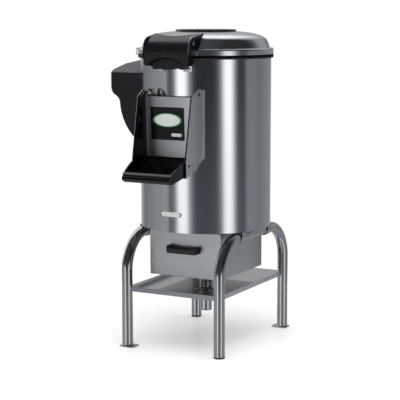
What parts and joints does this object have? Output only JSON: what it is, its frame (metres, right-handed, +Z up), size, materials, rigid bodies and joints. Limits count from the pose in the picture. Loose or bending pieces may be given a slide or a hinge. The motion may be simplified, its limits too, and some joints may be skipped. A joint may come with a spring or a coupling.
{
  "type": "electric potato peeler",
  "caption": "Floor-standing electric potato peeler: steel drum with abrasive disc and lining, hinged domed lid, swinging outlet door with tray, and a filter drawer in a tubular stand.",
  "frame": {"origin": "on the floor under the middle of the whole machine; the drum axis stands at X = 53.1 mm, Y = 59.2 mm", "axes": "+Z up along the drum, -Y towards the outlet door, -X towards the control housing"},
  "size_m": [0.5202, 0.6198, 0.961],
  "materials": {
    "brushed_steel": "stainless sheet with a fine vertical grain",
    "dark_steel": "spun stainless sheet, satin, darker than the drum",
    "satin_steel": "satin stainless fittings and sheet",
    "polished_steel": "bright stainless sheet that mirrors what stands on it",
    "black_plastic": "black moulding, satin",
    "black_rubber": "black rubber",
    "cast_aluminium": "as cast, turned on the working faces",
    "grit_lining": "coarse abrasive grit in resin",
    "grit_disc": "cast disc coated with coarse abrasive grit",
    "motor_paint": "grey-blue paint",
    "green_plastic": "green push button",
    "red_plastic": "red push button"
  },
  "bodies": {
    "machine": {"stand_hoop_left": "brushed_steel", "stand_hoop_right": "brushed_steel", "floor_plate_front_left": "brushed_steel", "floor_plate_rear_right": "brushed_steel", "foot_cap_front_right": "black_rubber", "foot_cap_rear_left": "black_rubber", "shelf": "polished_steel", "drum_saddle_front_left": "satin_steel", "drum_saddle_rear_left": "satin_steel", "drum_saddle_front_right": "satin_steel", "drum_saddle_rear_right": "satin_steel", "drum_shell": "brushed_steel", "drum_base": "satin_steel", "chamber_floor": "satin_steel", "abrasive_lining": "grit_lining", "bearing_carrier": "cast_aluminium", "upper_bearing": "satin_steel", "lower_bearing": "satin_steel", "shaft_seal": "black_rubber", "drive_belt": "black_rubber", "motor_body": "motor_paint", "waste_duct": "black_rubber", "water_inlet": "satin_steel", "drain_pipe": "brushed_steel", "filter_housing": "brushed_steel", "lid_hinge_bracket": "satin_steel", "lid_hinge_pin": "satin_steel", "latch_keeper_left": "brushed_steel", "latch_keeper_right": "brushed_steel", "chute_cheek_left": "satin_steel", "chute_cheek_right": "satin_steel", "chute_floor": "satin_steel", "outlet_frame": "satin_steel", "control_housing": "black_plastic", "cable_gland": "black_plastic"},
    "lid": {"lid_dome": "dark_steel", "lid_cap": "black_plastic", "lid_seal": "black_rubber", "lid_hinge_leaf": "satin_steel", "latch_ear_left": "brushed_steel", "latch_ear_right": "brushed_steel", "latch_hood": "black_plastic", "latch_pin": "satin_steel"},
    "latch": {"latch_lever": "black_plastic"},
    "door": {"door_panel": "brushed_steel", "door_body": "black_plastic", "door_seal": "black_rubber", "door_name_plate": "black_plastic", "tray_grip_bar": "black_plastic"},
    "drawer": {"filter_drawer": "brushed_steel", "drawer_front": "brushed_steel", "drawer_handle": "black_plastic"},
    "disc": {"abrasive_disc": "grit_disc", "drive_shaft": "satin_steel", "shaft_pulley": "cast_aluminium"},
    "rotor": {"motor_pulley": "cast_aluminium"},
    "start": {"start_button": "green_plastic"},
    "stop": {"stop_button": "red_plastic"},
    "timer": {"timer_knob": "black_plastic"}
  },
  "joints": [
    {"name": "lid_hinge", "type": "hinge", "parent": "machine", "child": "lid", "pos_m": [0.05315, 0.29115, 0.893], "axis": [-1, 0, 0], "range_deg": [0, 95]},
    {"name": "lid_latch", "type": "hinge", "parent": "lid", "child": "latch", "pos_m": [0.05315, -0.16085, 0.924], "axis": [-1, 0, 0], "range_deg": [0, 7], "stiffness_Nm_per_rad": 0.8, "springref_deg": -8.59},
    {"name": "discharge_door", "type": "hinge", "parent": "machine", "child": "door", "pos_m": [0.05315, -0.15485, 0.777], "axis": [-1, 0, 0], "range_deg": [0, 70]},
    {"name": "drawer_slide", "type": "slide", "parent": "machine", "child": "drawer", "axis": [0, -1, 0], "range_m": [0, 0.23]},
    {"name": "disc_spin", "type": "hinge", "parent": "machine", "child": "disc", "pos_m": [0.05315, 0.05915, 0.595], "axis": [0, 0, 1], "continuous": true},
    {"name": "motor_spin", "type": "hinge", "parent": "machine", "child": "rotor", "pos_m": [0.05315, 0.18415, 0.411], "axis": [0, 0, 1], "continuous": true},
    {"name": "start_button_press", "type": "slide", "parent": "machine", "child": "start", "axis": [1, 0, 0], "range_m": [0, 0.004], "stiffness_N_per_m": 400, "springref_m": -0.002},
    {"name": "stop_button_press", "type": "slide", "parent": "machine", "child": "stop", "axis": [1, 0, 0], "range_m": [0, 0.004], "stiffness_N_per_m": 400, "springref_m": -0.002},
    {"name": "timer_turn", "type": "hinge", "parent": "machine", "child": "timer", "pos_m": [-0.24685, 0.10915, 0.806], "axis": [-1, 0, 0], "range_deg": [0, 300]}
  ],
  "couplings": [
    {"joint": "motor_spin", "follows": "disc_spin", "ratio": 3.6923}
  ]
}
